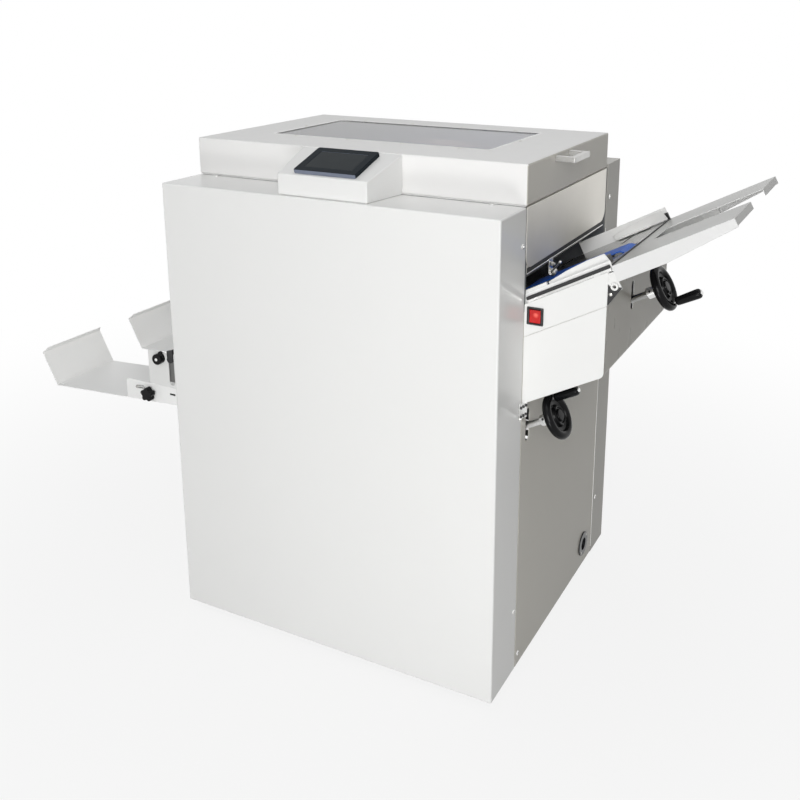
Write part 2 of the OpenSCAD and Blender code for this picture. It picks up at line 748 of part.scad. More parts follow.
module path_plate() color(bright) path() difference() {
    union() {
        box([-660, yfi, -3.5], [-72, yri, -2]);
        for (y = [yfi, yri - sheet]) box([-660, y, -11], [-72, y + sheet, -3]);
    }
    box([fold_u - 8, yfi + 40, -5], [fold_u + 8, yri - 40, 0]);
    for (y = head_y()) box([stitch_u - 10, y - 17, -5], [stitch_u + 10, y + 17, 0]);
    for (u = [stop_u, fold_stop_u], y = finger_y())
        box([u - stop_reach, y - 5, -5], [u + stop_reach, y + 5, 0]);
}

// Hollow cross beam with the bracket that carries the wire spools
module stitch_beam() color(grey) path() difference() {
    union() {
        box([stitch_u - 56, yfi, 50], [stitch_u - 16, yri, 100]);
        box([stitch_u - 52, yc - 8, 100], [stitch_u - 20, yc + 8, spool_h + 14]);
    }
    box([stitch_u - 52, yfi - 1, 54], [stitch_u - 20, yri + 1, 96]);
    rod_y(spool_u, spool_h, spindle_r + fit, yc - 10, yc + 10);
}

// One stitch head: body with a waisted nose, side cheek and wire inlet
module stitch_head(y) {
    xz(y - 20, y + 20) polygon([
        [stitch_u - 16, 40], [stitch_u - 10, 14], [stitch_u + 10, 14], [stitch_u + 16, 34],
        [stitch_u + 16, 118], [stitch_u + 6, 128], [stitch_u - 16, 128]]);
    xz(y - 23, y - 20) polygon([
        [stitch_u - 14, 52], [stitch_u + 12, 40], [stitch_u + 12, 108], [stitch_u - 14, 108]]);
    translate([stitch_u - 4, y, 128]) cylinder(r = 4, h = 12);
    rod_y(stitch_u, 84, 9, y - 27, y - 22);
}

module stitch_heads() color(steel) path() for (y = head_y()) stitch_head(y);

module stitch_driver() color(bright) path() {
    face = stitch_u + 16 + air;
    box([face + 8, yc - stitch_pitch / 2 - 42, 96], [face + 18, yc + stitch_pitch / 2 + 42, 108]);
    for (y = head_y()) box([face, y - 7, 38], [face + 8, y + 7, 108]);
}

module wire_spool(y) difference() {
    union() {
        rod_y(spool_u, spool_h, spool_r, y - 17, y - 14);
        rod_y(spool_u, spool_h, spool_r, y + 14, y + 17);
        rod_y(spool_u, spool_h, 0.75 * spool_r, y - 15, y + 15);
    }
    for (a = [0:60:300])
        rod_y(spool_u + 20 * cos(a), spool_h + 20 * sin(a), 5, y - 20, y + 20);
}

module wire_spools() color(steel) path() {
    for (y = head_y()) wire_spool(y);
    rod_y(spool_u, spool_h, spindle_r, yc - stitch_pitch / 2 - 26, yc + stitch_pitch / 2 + 26);
}

module clincher_bar() color(steel) path() {
    box([stitch_u - 20, yfi, -60], [stitch_u + 20, yri, -12]);
    for (y = head_y()) box([stitch_u - 6, y - 15, -12], [stitch_u + 6, y + 15, -2]);
}

function knife_rods() = [yfi + 30, yri - 30];

module knife_beam() color(grey) path() {
    box([fold_u - 18, yfi, 150], [fold_u + 18, yri, 176]);
    for (y = knife_rods()) translate([fold_u, y, 40]) cylinder(r = knife_rod, h = 110);
}

module fold_knife() color(bright) path() difference() {
    union() {
        box([fold_u - knife_t / 2, yfi + 55, 8], [fold_u + knife_t / 2, yri - 55, 96]);
        box([fold_u - 14, yfi + 16, 95], [fold_u + 14, yri - 16, 115]);
    }
    for (y = knife_rods()) translate([fold_u, y, 80]) cylinder(r = knife_rod + fit, h = 50);
}

module fold_roller(u, turn) path() {
    rod_y(u, fold_h, roller_r, yfi + 45, yri - 45);
    rod_y(u, fold_h, fold_shaft, yf + 1, yr + 20);
    xz(yr + 4, yr + 14) translate([u, fold_h]) rotate(turn) gear2(gear_n, fold_du);
}

module fold_roller_a() color(dark) fold_roller(fold_u + fold_du, 0);

module fold_roller_b() color(dark) fold_roller(fold_u - fold_du, 180 / gear_n);

// Drive and exit

module drive_motor() color(grey) {
    deck = tube + 6;
    box([motor_x - 70, 260, deck], [motor_x + 70, 460, deck + 8]);
    for (y = [285, 435]) box([motor_x - 40, y - 8, deck + 8], [motor_x + 40, y + 8, motor_z - 20]);
    rod_y(motor_x, motor_z, 50, 250, 470);
    for (y = [250:14:460]) rod_y(motor_x, motor_z, 55, y, y + 8);
    box([motor_x - 30, 300, motor_z + 40], [motor_x + 30, 380, motor_z + 85]);
    rod_y(motor_x, motor_z, 10, 469, yr + 26);
    rod_y(motor_x, motor_z, 20, yr + 6, yr + 22);
}

module exit_chute() color(bright) {
    y0 = yfi + 45;
    y1 = yri - 45;
    x1 = body_w - 140;
    rise = 60;
    z0 = clamp_z - 2;
    side = 9;
    difference() {
        xz(y0, y1) polygon([[5, z0], [x1, z0 + rise], [x1, z0 + rise + side], [5, z0 + side]]);
        xz(y0 + 2, y1 - 2) polygon([
            [4, z0 + 1.9], [x1 + 1, z0 + rise + 2.1], [x1 + 1, z0 + rise + 20], [4, z0 + 20]]);
    }
    for (x = [30, x1 - 60]) {
        z = z0 + (x - 5) * rise / (x1 - 5) + 3;
        box([x, yfi, z], [x + 30, y0 + 1, z + 3]);
        box([x, y1 - 1, z], [x + 30, yri, z + 3]);
    }
}

// Outfeed

module outfeed_bracket() {
    z0 = clamp_z - 12;
    z1 = clamp_z + 100;
    step = clamp_z + 16;
    xz(bracket_y, bracket_y + bracket_t) difference() {
        polygon([[-207, z0], [0, z0], [0, z1], [-177, z1], [-177, step], [-207, step]]);
        obround([press_x, press_z[0]], [press_x, press_z[1]], press_r);
        obround([clamp_x - 27, clamp_z], [clamp_x + 27, clamp_z], clamp_r + air);
        translate([lever_x, press_z[1]]) circle(r = clamp_r + fit);
    }
    box([-sheet, bracket_y + bracket_t - weld, z0], [0, yf + 13, z1]);
}

module outfeed_brackets() color(white) {
    outfeed_bracket();
    mirror_y(ymid) outfeed_bracket();
}

// One wing: sloping floor, leaning end wall with a rim, and the side flange that is clamped
module wing(cut_end) {
    top = wall_l * ray(wall_turn);
    rim = top + wing_rim * ray(rim_turn);
    heel = sheet / sin((wall_turn - wing_tilt) / 2) * ray((wall_turn + wing_tilt) / 2 + 180);
    toe = wing_l * ray(wing_tilt);
    difference() {
        xz(yf, yf + wing_w) translate([wing_x, wing_z])
            polygon([[0, 0], top, rim, rim + sheet * ray(rim_turn + 90), top + fold_t * ray(rim_fold),
                     heel, toe - sheet * ray(wing_tilt + 90), toe]);
        translate([wing_x + top[0], yf + cut_end * wing_w, wing_z + top[1]]) mirror([0, cut_end, 0])
            yz(-5, 9) polygon([[-1, 0.5], [14, wing_rim], [14, wing_rim + 5], [-1, wing_rim + 5]]);
    }
    xz(yf, yf + sheet - 0.2) difference() {
        polygon([[-246, floor_z(-246) - 1], [-78, floor_z(-78) - 1], [-78, clamp_z + 22],
                 [-240, clamp_z + 22], [-246, clamp_z + 16]]);
        translate([clamp_x, clamp_z]) circle(r = clamp_r + fit);
        obround([-119, clamp_z + 6], [-107, clamp_z + 6], 2.2);
    }
}

module front_wing() color(white) {
    wing(0);
    box([-130, yf + 30, floor_z(-130) - 3], [-90, yr - 30, floor_z(-130) - 1.2]);
}

module rear_wing() color(white) difference() {
    mirror_y(ymid) wing(1);
    box([-131, yf + 30, floor_z(-130) - 4], [-89, yr - 30 + 0.2, floor_z(-130) - 1.2]);
}

module star_knob() {
    xz(yf - 18, yf - 4) translate([clamp_x, clamp_z]) star2(knob_r);
    rod_y(clamp_x, clamp_z, 7, yf - 5, yf - 0.2);
    rod_y(clamp_x, clamp_z, clamp_r, yf - 1, yf + 10);
    rod_y(clamp_x, clamp_z, 7, yf + 5, yf + 10);
}

module star_knobs() color(dark) {
    star_knob();
    mirror_y(ymid) star_knob();
}

module press_roller() color(dark) {
    r = press_r - air;
    z = press_z[1];
    rod_y(press_x, z, r, yf - 2, yr + 2);
    rod_y(press_x, z, 16, yfi + 10, yri - 10);
    for (y = [yf + 6, yr - 10]) rod_y(press_x, z, 11, y, y + 4);
}

module clamp_lever() color(dark) translate([lever_x, 0, press_z[1]]) {
    rod_y(0, 0, 12, yf - 14, yf + sheet - air);
    rod_y(0, 0, clamp_r, yf, yf + 10);
    rod_y(0, 0, 7, yf + 5, yf + 10);
    rotate([0, -62, 0]) {
        box([0, yf - 12, -4], [17, yf - 5, 4]);
        rod_y(17, 0, 4, yf - 12, yf - 5);
    }
}

placed() {
    base_frame();
    levelling_feet();
    front_frame();
    rear_frame();
    tie_bars();
    front_cover();
    back_cover();
    right_panel();
    left_panel();
    guard_plate();
    console_box();
    touch_bezel();
    touch_glass();
    cover_screws();
    hood();
    hood_window();
    hood_screws();
    hood_handle();
    hood_hinge_base();
    hood_hinge_leaf();
    power_inlet();
    infeed_cover();
    infeed_frame();
    infeed_bed();
    feed_belt();
    feed_drive_roller();
    feed_idler_roller();
    front_guide();
    rear_guide();
    infeed_tray();
    switch_bezel();
    switch_rocker();
    upper_handwheel();
    upper_grip();
    upper_screw();
    lower_handwheel();
    lower_grip();
    lower_screw();
    screw_blocks();
    stitch_stop();
    fold_stop();
    path_plate();
    stitch_beam();
    stitch_heads();
    stitch_driver();
    wire_spools();
    clincher_bar();
    knife_beam();
    fold_knife();
    fold_roller_a();
    fold_roller_b();
    drive_motor();
    exit_chute();
    outfeed_brackets();
    front_wing();
    rear_wing();
    star_knobs();
    press_roller();
    clamp_lever();
}
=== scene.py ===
import math
import bpy
from mathutils import Matrix, Vector


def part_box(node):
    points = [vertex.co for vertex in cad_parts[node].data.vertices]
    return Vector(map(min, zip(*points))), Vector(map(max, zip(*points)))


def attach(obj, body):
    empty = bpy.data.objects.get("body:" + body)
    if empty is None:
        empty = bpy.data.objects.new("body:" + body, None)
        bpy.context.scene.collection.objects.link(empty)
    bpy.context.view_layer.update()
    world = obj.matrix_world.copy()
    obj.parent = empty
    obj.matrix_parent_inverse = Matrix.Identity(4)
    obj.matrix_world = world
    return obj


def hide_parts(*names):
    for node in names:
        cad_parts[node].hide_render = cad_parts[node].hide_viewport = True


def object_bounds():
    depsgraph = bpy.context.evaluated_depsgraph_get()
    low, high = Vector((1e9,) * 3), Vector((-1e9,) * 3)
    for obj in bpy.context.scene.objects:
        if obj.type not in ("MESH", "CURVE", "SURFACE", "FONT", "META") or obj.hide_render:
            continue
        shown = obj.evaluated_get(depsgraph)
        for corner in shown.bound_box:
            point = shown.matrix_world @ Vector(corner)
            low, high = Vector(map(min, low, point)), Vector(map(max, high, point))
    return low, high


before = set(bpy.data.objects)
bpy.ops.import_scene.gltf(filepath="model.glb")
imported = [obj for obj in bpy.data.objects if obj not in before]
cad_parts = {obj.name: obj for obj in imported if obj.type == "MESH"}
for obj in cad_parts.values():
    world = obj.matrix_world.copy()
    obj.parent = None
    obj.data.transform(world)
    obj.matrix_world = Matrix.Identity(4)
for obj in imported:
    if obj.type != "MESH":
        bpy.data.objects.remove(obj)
cad_box = [list(end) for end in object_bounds()]

# The machine stands in a white studio: a large soft lamp in front, a small one near the floor, one
# behind and a weak one overhead. The room is dimmer on the infeed side. The camera stands where the
# photograph was taken.
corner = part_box("front_cover")[0]


def at(x, y, z):
    """A place in mm: X from the cabinet's left face, Y from its front, Z from the cover's foot."""
    return corner + Vector((x, y, z)) / 1000


class Wire:
    """A socket in a node tree. Sums written on it add Math nodes."""

    def __init__(self, tree, socket=None):
        self.tree = tree
        self.socket = socket

    def node(self, kind, settings=(), sockets=(), out=0):
        made = self.tree.nodes.new(kind)
        for key, value in dict(settings).items():
            setattr(made, key, value)
        for key, value in dict(sockets).items():
            if isinstance(value, Wire):
                self.tree.links.new(value.socket, made.inputs[key])
            else:
                made.inputs[key].default_value = value
        return Wire(self.tree, made.outputs[out])

    def sums(self, operation, a, b):
        return self.node("ShaderNodeMath", {"operation": operation}, {0: a, 1: b})

    def __add__(self, other):
        return self.sums("ADD", self, other)

    def __sub__(self, other):
        return self.sums("SUBTRACT", self, other)

    def __rsub__(self, other):
        return self.sums("SUBTRACT", other, self)

    def __mul__(self, other):
        return self.sums("MULTIPLY", self, other)

    __radd__ = __add__
    __rmul__ = __mul__

    def place(self, scale=(1, 1, 1), turn=(0, 0, 0), shift=(0, 0, 0)):
        """Object coordinates, stretched, turned and shifted."""
        where = self.node("ShaderNodeTexCoord", out="Object")
        return self.node("ShaderNodeMapping", {}, {
            "Vector": where, "Scale": scale, "Rotation": turn, "Location": shift})

    def noise(self, vector, scale, detail=2.0):
        return self.node("ShaderNodeTexNoise", {}, {
            "Vector": vector, "Scale": scale, "Detail": detail})

    def between(self, value, low, high):
        """Rises softly from 0 to 1 as a value goes from low to high."""
        return self.node("ShaderNodeMapRange", {"interpolation_type": "SMOOTHSTEP"}, {
            "Value": value, "From Min": low, "From Max": high})

    def blend(self, factor, a, b):
        """One colour laid over another by a mask."""
        return self.node("ShaderNodeMix", {"data_type": "RGBA"}, {
            0: factor, 6: (*a, 1) if isinstance(a, tuple) else a,
            7: (*b, 1) if isinstance(b, tuple) else b}, out=2)

    def bump(self, height, strength, distance):
        return self.node("ShaderNodeBump", {}, {
            "Height": height, "Strength": strength, "Distance": distance})


bpy.ops.object.select_all(action="DESELECT")
bpy.ops.mesh.primitive_plane_add(size=40, location=(0, 0, cad_box[0][2]))
floor = bpy.context.object
floor.name = "studio_floor"
floor_paint = bpy.data.materials.new("studio_floor_paint")
floor_paint.use_nodes = True
floor.data.materials.append(floor_paint)
shader = floor_paint.node_tree.nodes["Principled BSDF"]
shader.inputs["Base Color"].default_value = (0.42, 0.42, 0.41, 1)
shader.inputs["Roughness"].default_value = 0.9
draw = Wire(floor_paint.node_tree)
ways = draw.tree.nodes.new("ShaderNodeLightPath").outputs
seen = draw.sums(
    "MAXIMUM", Wire(draw.tree, ways["Is Camera Ray"]), Wire(draw.tree, ways["Is Glossy Ray"]))
away = draw.node("ShaderNodeVectorMath", {"operation": "LENGTH"}, {
    0: draw.node("ShaderNodeTexCoord", out="Object")}, out="Value")
white = draw.node("ShaderNodeEmission", {}, {"Color": (1, 1, 1, 1), "Strength": 1.0})
SHADOW = 0.14
mixed = draw.node("ShaderNodeMixShader", {}, {
    0: seen * (draw.between(away, 0.5, 2.2) * SHADOW + (1 - SHADOW)),
    1: Wire(draw.tree, shader.outputs[0]), 2: white})
draw.tree.links.new(mixed.socket, draw.tree.nodes["Material Output"].inputs["Surface"])

world = bpy.data.worlds.new("studio")
bpy.context.scene.world = world
world.use_nodes = True
draw = Wire(world.node_tree)
ways = draw.tree.nodes.new("ShaderNodeLightPath").outputs
direct = Wire(draw.tree, ways["Is Camera Ray"])
for way in ("Is Glossy Ray", "Is Transmission Ray"):
    direct = draw.sums("MAXIMUM", direct, Wire(draw.tree, ways[way]))
parts = draw.node("ShaderNodeSeparateXYZ", {}, {
    0: draw.node("ShaderNodeTexCoord", out="Generated")})
upward = Wire(draw.tree, parts.socket.node.outputs["Z"])
walls = draw.blend(
    draw.between(parts - upward * 1.2, -0.4, 0.5), (0.40, 0.405, 0.41), (0.03, 0.027, 0.022))
room = draw.node("ShaderNodeBackground", {}, {"Color": walls, "Strength": 1.0})
paper = draw.node("ShaderNodeBackground", {}, {"Color": (1, 1, 1, 1), "Strength": 1.0})
mixed = draw.node("ShaderNodeMixShader", {}, {0: direct, 1: room, 2: paper})
draw.tree.links.new(mixed.socket, draw.tree.nodes["World Output"].inputs["Surface"])


def soft_lamp(name, place, aim, size, power):
    data = bpy.data.lights.new(name, "AREA")
    data.shape = "DISK"
    data.size = size
    data.energy = power
    lamp = bpy.data.objects.new(name, data)
    bpy.context.scene.collection.objects.link(lamp)
    lamp.location = place
    lamp.rotation_euler = (Vector(aim) - Vector(place)).to_track_quat("-Z", "Y").to_euler()


soft_lamp("front_lamp", (1.4, -3.2, 1.9), (0, 0, 0.5), 1.9, 66)
soft_lamp("low_lamp", (0.8, -2.1, 0.1), (0.25, 0, 0.25), 0.8, 15)
soft_lamp("back_lamp", (-2.3, 2.6, 0.5), (0, 0, 0.45), 0.9, 42)
soft_lamp("top_lamp", (0.7, -0.6, 3.0), (0.2, 0, 0.5), 1.8, 9)

lens_data = bpy.data.cameras.new("photo_camera")
lens_data.lens = 43.8
lens_data.shift_x = -0.0375
lens_data.shift_y = -0.1875
camera = bpy.data.objects.new("photo_camera", lens_data)
bpy.context.scene.collection.objects.link(camera)
camera.location = at(1286.3, -1388.8, 1239.5)
LOOKS_DOWN, ROLL, YAW = 14.48, -0.1, 27.18
camera.rotation_euler = [math.radians(angle) for angle in (90 - LOOKS_DOWN, ROLL, YAW)]
bpy.context.scene.camera = camera
bpy.context.scene.view_settings.view_transform = "Standard"


# Welded base of square tube and two thick frame plates that carry the whole mechanism. Both are
# sprayed dark grey; bright tie bars hold the plates apart. Rubber feet screw into the base.
def finish(name, **sockets):
    """A material whose Principled shader takes these values; the wire draws what varies."""
    material = bpy.data.materials.new(name)
    material.use_nodes = True
    set_sockets(material, sockets)
    return material, Wire(material.node_tree)


def set_sockets(material, sockets):
    inputs = material.node_tree.nodes["Principled BSDF"].inputs
    for key, value in sockets.items():
        socket = inputs[key.replace("_", " ")]
        if isinstance(value, Wire):
            material.node_tree.links.new(value.socket, socket)
        else:
            socket.default_value = (*value, 1) if isinstance(value, tuple) else value


def dress(material, *names):
    """Paints CAD nodes."""
    for name in names:
        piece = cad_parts[name]
        piece.data.materials.clear()
        piece.data.materials.append(material)


def enamel(name, colour, roughness, peel, shine=0.5):
    """Sprayed paint: faint clouding in the tone, orange peel, and a wiped, uneven gloss."""
    material, draw = finish(name, Specular_IOR_Level=shine, IOR=1.5)
    where = draw.place()
    cloud = draw.noise(where, 2.4, 3.0)
    wiped = draw.noise(draw.place(scale=(1, 1, 0.35)), 26, 4.0)
    grain = draw.noise(where, 640, 1.0)
    darker = tuple(0.955 * c for c in colour)
    set_sockets(material, {
        "Base_Color": draw.blend(cloud, darker, colour),
        "Roughness": wiped * 0.06 + (roughness - 0.03),
        "Normal": draw.bump(grain, peel, 0.0004)})
    return material


def turned_metal(name, colour, roughness, axis):
    """Machined steel with fine tool marks across one axis and a few duller patches."""
    material, draw = finish(name, Metallic=1.0)
    marks = [1200.0 if i == axis else 40.0 for i in range(3)]
    fine = draw.noise(draw.place(scale=marks), 1.0, 2.0)
    patch = draw.noise(draw.place(), 18, 3.0)
    dull = tuple(0.78 * c for c in colour)
    set_sockets(material, {
        "Base_Color": draw.blend(patch, dull, colour),
        "Roughness": fine * 0.16 + (roughness - 0.08),
        "Normal": draw.bump(fine, 0.12, 0.0002)})
    return material


def rubber(name, colour):
    """Matt rubber with a fine moulded grain and pale dust in it."""
    material, draw = finish(name, IOR=1.45)
    grain = draw.noise(draw.place(), 900, 2.0)
    dust = draw.noise(draw.place(), 30, 5.0)
    dusty = tuple(c + 0.02 for c in colour)
    set_sockets(material, {
        "Base_Color": draw.blend(dust, colour, dusty),
        "Roughness": dust * 0.2 + 0.58,
        "Normal": draw.bump(grain, 0.3, 0.0004)})
    return material


dark_enamel = enamel("dark_grey_enamel", (0.115, 0.12, 0.13), 0.38, 0.12)
cross_steel = turned_metal("cross_turned_steel", (0.62, 0.62, 0.61), 0.3, 1)
black_rubber = rubber("black_rubber", (0.016, 0.016, 0.017))
dress(dark_enamel, "base_frame", "front_frame", "rear_frame")
dress(cross_steel, "tie_bars")
dress(black_rubber, "levelling_feet")

# Front cover: one sheet folded into a shallow box, open towards the frame, with a lip round its
# foot and its back. Sprayed gloss white, and held to the frame plate by screws in its sides.
SHEET, LIP = 0.0015, 0.014
white_enamel = enamel("gloss_white_enamel", (0.80, 0.80, 0.79), 0.2, 0.04, 0.3)


def block(name, low, high):
    """A cube between two corners, as the start of a piece."""
    bpy.ops.object.select_all(action="DESELECT")
    low, high = Vector(low), Vector(high)
    bpy.ops.mesh.primitive_cube_add(size=1, location=(low + high) / 2)
    piece = bpy.context.object
    piece.name = name
    piece.scale = high - low
    bpy.ops.object.transform_apply(location=True, rotation=True, scale=True)
    return piece


def pick(piece, test):
    """Enters edit mode with the faces selected whose centre and normal pass the test."""
    if bpy.context.object.mode != "OBJECT":
        bpy.ops.object.mode_set(mode="OBJECT")
    mesh = piece.data
    for group in (mesh.vertices, mesh.edges, mesh.polygons):
        for item in group:
            item.select = False
    for face in mesh.polygons:
        face.select = test(face.center, face.normal)
    bpy.ops.object.mode_set(mode="EDIT")
    bpy.ops.mesh.select_mode(type="FACE")


def fold_up(piece, bend, sheet=0.0, segments=3, clamp=True):
    """Gives a shell its bend radius and the thickness of its sheet, then smooths the bends."""
    if bpy.context.object.mode != "OBJECT":
        bpy.ops.object.mode_set(mode="OBJECT")
    if bend:
        bevel = piece.modifiers.new("bends", "BEVEL")
        bevel.width = bend
        bevel.segments = segments
        bevel.limit_method = "ANGLE"
        bevel.use_clamp_overlap = clamp
    if sheet:
        wall = piece.modifiers.new("sheet", "SOLIDIFY")
        wall.thickness = sheet
        wall.offset = -1
    even = piece.modifiers.new("even", "WEIGHTED_NORMAL")
    even.keep_sharp = True
    bpy.ops.object.shade_smooth_by_angle(angle=math.radians(40))
    for modifier in list(piece.modifiers):
        bpy.ops.object.modifier_apply(modifier=modifier.name)


def stands_for(piece, body, slot, material, *nodes):
    """Paints a new piece, hangs it on its body and hides the CAD nodes that it stands for."""
    piece.data.materials.clear()
    piece.data.materials.append(material)
    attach(piece, body)
    if nodes:
        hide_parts(*nodes)


low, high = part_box("front_cover")
front = block("front_cover_sheet", low, high)
pick(front, lambda c, n: n.z < -0.9)
bpy.ops.mesh.inset(thickness=LIP)
bpy.ops.mesh.delete(type="FACE")
pick(front, lambda c, n: n.y > 0.9)
bpy.ops.mesh.inset(thickness=LIP)
bpy.ops.mesh.delete(type="FACE")
fold_up(front, 0.003, SHEET)
stands_for(front, "machine", "white_paint", white_enamel, "front_cover")

# Back cover with its cooling slots, and the two side panels between the covers: the same sheet,
# screwed to the frame plates. Their warmer, greyer white is painted shade.
# Painted shade: the greyer white of the sides stands for light falling off on them.
shaded_side_enamel = enamel("shaded_side_white_enamel", (0.60, 0.58, 0.53), 0.26, 0.04, 0.08)


def eased(node, body, slot, width, material):
    """A merged copy of a CAD solid with the small radius that the real edges have."""
    piece = bpy.data.objects.new(node + "_eased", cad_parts[node].data.copy())
    bpy.context.scene.collection.objects.link(piece)
    bpy.ops.object.select_all(action="DESELECT")
    bpy.context.view_layer.objects.active = piece
    piece.select_set(True)
    bpy.ops.object.mode_set(mode="EDIT")
    bpy.ops.mesh.select_all(action="SELECT")
    bpy.ops.mesh.remove_doubles(threshold=0.00001)
    bpy.ops.mesh.dissolve_limited(angle_limit=math.radians(0.5))
    fold_up(piece, width, 0, 2, False)
    stands_for(piece, body, slot, material, node)
    return piece


# Painted shade: the back cover's white is darker still.
shaded_back_enamel = enamel("shaded_back_white_enamel", (0.50, 0.485, 0.45), 0.26, 0.04, 0.08)
eased("back_cover", "machine", "white_paint", 0.0004, shaded_back_enamel)
for panel in ("right_panel", "left_panel"):
    eased(panel, "machine", "white_paint", 0.0004, shaded_side_enamel)


# Seam strip: a bright white edging pushed over the right panel's rear edge, where the back cover
# meets it.
RIGHT_FACE = 700
edging = enamel("edging_white_enamel", (0.90, 0.90, 0.88), 0.3, 0.03, 0.3)
strip = block("panel_seam_strip",
              at(RIGHT_FACE + 0.05, 565.6, 16), at(RIGHT_FACE + 1.3, 568.4, 770))
fold_up(strip, 0.0005)
stands_for(strip, "machine", "white_paint", edging)


# Cover screws: bright plated pan heads with a cross recess. On each side four hold the covers and
# one the foot of the side panel; two more sit on the ledge.
def lay(piece, place, axis):
    """Turns a piece that was made along Z onto an axis and carries it to its place."""
    turn = Vector(axis).to_track_quat("Z", "Y")
    piece.data.transform(Matrix.LocRotScale(Vector(place), turn, None))


def turned(name, profile, place, axis, sides=40):
    """A lathe-turned piece: a disc drawn out ring by ring to (radius, distance) pairs in mm."""
    bpy.ops.object.select_all(action="DESELECT")
    radius, along = profile[0]
    bpy.ops.mesh.primitive_circle_add(
        vertices=sides, radius=radius / 1000, fill_type="NGON", location=(0, 0, along / 1000))
    piece = bpy.context.object
    piece.name = name
    bpy.ops.object.transform_apply(location=True, rotation=True, scale=True)
    bpy.ops.object.mode_set(mode="EDIT")
    bpy.ops.mesh.select_all(action="SELECT")
    for wider, further in profile[1:]:
        bpy.ops.mesh.extrude_region_move(
            TRANSFORM_OT_translate={"value": (0, 0, (further - along) / 1000)})
        bpy.ops.transform.resize(
            value=(wider / radius, wider / radius, 1), center_override=(0, 0, further / 1000))
        radius, along = wider, further
    bpy.ops.mesh.select_all(action="SELECT")
    bpy.ops.mesh.normals_make_consistent(inside=False)
    bpy.ops.object.mode_set(mode="OBJECT")
    bpy.ops.object.shade_smooth_by_angle(angle=math.radians(32))
    lay(piece, place, axis)
    return piece


def cut(piece, cutter):
    """Takes one piece out of another and throws the cutter away."""
    bite = piece.modifiers.new("bite", "BOOLEAN")
    bite.operation = "DIFFERENCE"
    bite.solver = "EXACT"
    bite.object = cutter
    bpy.ops.object.select_all(action="DESELECT")
    bpy.context.view_layer.objects.active = piece
    bpy.ops.object.modifier_apply(modifier=bite.name)
    bpy.data.objects.remove(cutter)


def cross_head(radius, height):
    """A pan-head screw with a cross recess, standing on the origin."""
    head = turned("screw_head", [
        (0.96 * radius, 0), (radius, 0.1 * height), (radius, 0.35 * height),
        (0.9 * radius, 0.68 * height), (0.66 * radius, 0.9 * height), (0.3 * radius, height)],
        (0, 0, 0), (0, 0, 1), 24)
    arm, blade = radius * 0.00058, radius * 0.00013
    for x, y in ((arm, blade), (blade, arm)):
        cut(head, block("blade", (-x, -y, height * 0.00045), (x, y, height * 0.002)))
    return head


def set_out(master, name, places):
    """Copies a piece, each copy with its own mesh, to (place, axis) pairs and joins the copies."""
    copies = []
    for place, axis in places:
        copy = bpy.data.objects.new(name, master.data.copy())
        bpy.context.scene.collection.objects.link(copy)
        lay(copy, place, axis)
        copies.append(copy)
    bpy.data.objects.remove(master)
    bpy.ops.object.select_all(action="DESELECT")
    for copy in copies:
        copy.select_set(True)
    bpy.context.view_layer.objects.active = copies[0]
    if len(copies) > 1:
        bpy.ops.object.join()
    copies[0].name = name
    return copies[0]


zinc = turned_metal("zinc_plate", (0.64, 0.63, 0.60), 0.34, 0)
ROWS, HEIGHTS = (96, 584), (133, 835)
places = [(at(RIGHT_FACE, y, z), (1, 0, 0)) for y in ROWS for z in HEIGHTS]
places += [(at(0, y, z), (-1, 0, 0)) for y in ROWS for z in HEIGHTS]
places += [(at(x, 104, 900), (0, 0, 1)) for x in (47, 639)]
heads = set_out(cross_head(5, 2.4), "cover_screw_heads", places)
bright_screw = turned_metal("bright_screw_steel", (0.86, 0.86, 0.85), 0.2, 0)
stands_for(heads, "machine", "machined_steel", bright_screw, "cover_screws")
heads = set_out(cross_head(5, 2.4), "panel_foot_screw_heads", [
    (at(RIGHT_FACE, 122, 27), (1, 0, 0)), (at(0, 122, 27), (-1, 0, 0))])
stands_for(heads, "machine", "machined_steel", bright_screw)


# Guard over the mouth: a plate of bright rolled stainless sheet with rounded lower corners. Behind
# it a black pad and a bead on the folded guide's edge close the mouth's upper side.
def rolled_sheet(name, colour, roughness, along, depth=0.08):
    """Bright sheet steel: long rolling marks along one axis, faint clouds and wiped patches."""
    material, draw = finish(name, Metallic=1.0)
    lines = [14.0 if i == along else 900.0 for i in range(3)]
    roll = draw.noise(draw.place(scale=lines), 1.0, 3.0)
    cloud = draw.noise(draw.place(), 7, 3.0)
    dull = tuple(0.84 * c for c in colour)
    set_sockets(material, {
        "Base_Color": draw.blend(cloud, dull, colour),
        "Roughness": roll * 0.12 + cloud * 0.1 + (roughness - 0.1),
        "Normal": draw.bump(roll, depth, 0.0002)})
    return material


upright_sheet = rolled_sheet("upright_stainless_sheet", (0.74, 0.72, 0.675), 0.56, 2)
polished = turned_metal("polished_aluminium", (0.80, 0.80, 0.79), 0.24, 2)
eased("guard_plate", "machine", "bright_sheet", 0.0004, upright_sheet)
pad = block("mouth_pad", at(698.55, 122, 781.5), at(699.3, 549, 791))
fold_up(pad, 0.0002)
stands_for(pad, "machine", "black_rubber", black_rubber)
bead = turned("mouth_bead", [(0.9, 0), (1.3, 0.6), (1.3, 427.4), (0.9, 428)],
              at(698.4, 122, 780.2), (0, 1, 0), 16)
stands_for(bead, "machine", "polished_metal", polished)

